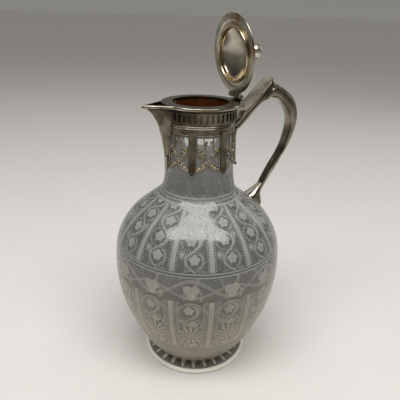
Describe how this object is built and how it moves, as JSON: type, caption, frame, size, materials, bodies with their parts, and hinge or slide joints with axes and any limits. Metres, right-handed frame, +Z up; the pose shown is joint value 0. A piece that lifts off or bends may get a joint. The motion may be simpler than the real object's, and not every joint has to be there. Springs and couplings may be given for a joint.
{
  "type": "claret jug",
  "caption": "Round-bodied glass claret jug on a flat foot, with a metal collar, beak spout, bent handle and a hinged domed lid with a ball finial.",
  "frame": {"origin": "centre of the foot's flat underside", "axes": "+Z up along the jug's axis, +X towards the handle, -X towards the spout, Y across, mirror plane XZ"},
  "size_m": [0.1577, 0.1352, 0.281],
  "materials": {
    "cut_glass": "clear blown glass, wheel engraved",
    "silver": "polished silver, lightly worn",
    "silver_gilt": "polished silver gilt",
    "plaster": "matt plaster bedding"
  },
  "bodies": {
    "jug": {"glass_body": "cut_glass", "glass_foot": "cut_glass", "handle_peg": "cut_glass", "neck_cement": "plaster", "socket_plaster": "plaster", "collar_sleeve": "silver", "fluted_band": "silver", "upper_wire": "silver", "lower_wire": "silver", "pierced_skirt": "silver", "rim_flange": "silver", "spout_shell": "silver", "spout_keel": "silver", "spout_drop": "silver", "hinge_block": "silver", "hinge_pin": "silver", "thumb_plate": "silver", "plate_moulding": "silver", "handle_loop": "silver", "handle_socket": "silver", "handle_drop": "silver", "pilaster_1": "silver", "pilaster_2": "silver", "pilaster_3": "silver", "pilaster_4": "silver", "pilaster_5": "silver", "pilaster_6": "silver", "gilt_liner": "silver_gilt"},
    "lid": {"lid_plate": "silver", "lid_dome": "silver", "lid_bezel": "silver_gilt", "lid_leaf": "silver", "finial_collet": "silver", "finial_ball": "silver"}
  },
  "joints": [
    {"name": "lid_hinge", "type": "hinge", "parent": "jug", "child": "lid", "pos_m": [0.0305, 0, 0.22235], "axis": [0, -1, 0], "range_deg": [0, 85]}
  ]
}
